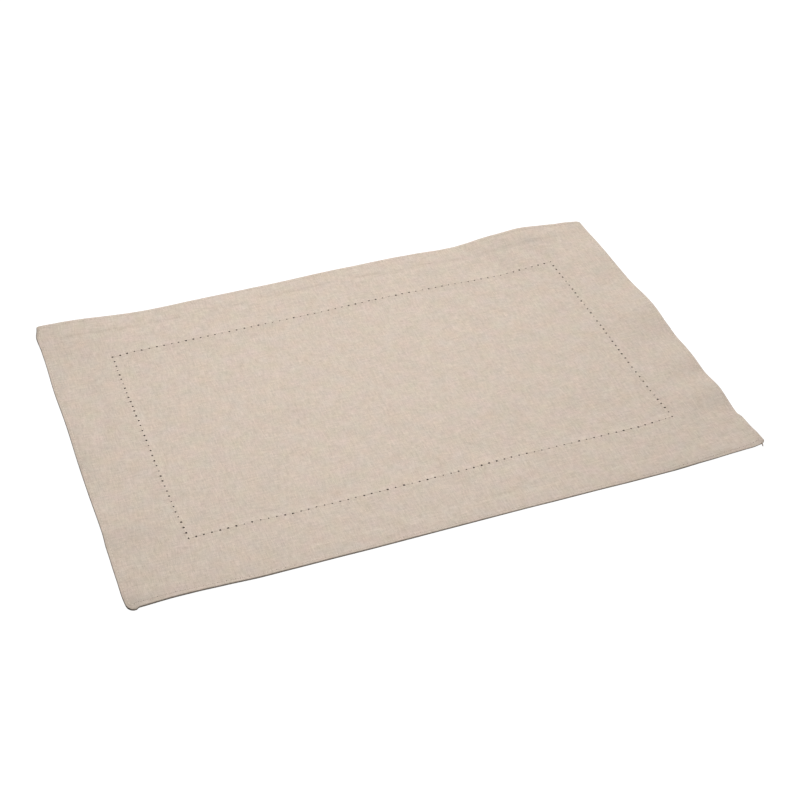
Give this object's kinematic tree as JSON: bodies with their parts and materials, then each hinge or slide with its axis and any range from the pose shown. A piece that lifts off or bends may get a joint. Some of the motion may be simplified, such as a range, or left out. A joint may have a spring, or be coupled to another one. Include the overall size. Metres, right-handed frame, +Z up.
{
  "type": "fabric placemat",
  "caption": "Flat rectangular cloth placemat with a wide turned hem, set off by drawn-thread hemstitch, its border lying in soft uneven waves.",
  "frame": {"origin": "middle of the underside, on the surface that the cloth lies on", "axes": "+X along the long side, +Y across the short side from the front edge to the back edge, +Z up"},
  "size_m": [0.4499, 0.2976, 0.0065],
  "materials": {
    "linen_cloth": "matt plain-weave linen, pale greyish beige with a slight pink cast"
  },
  "bodies": {
    "root": {"placemat_cloth": "linen_cloth"}
  },
  "joints": []
}
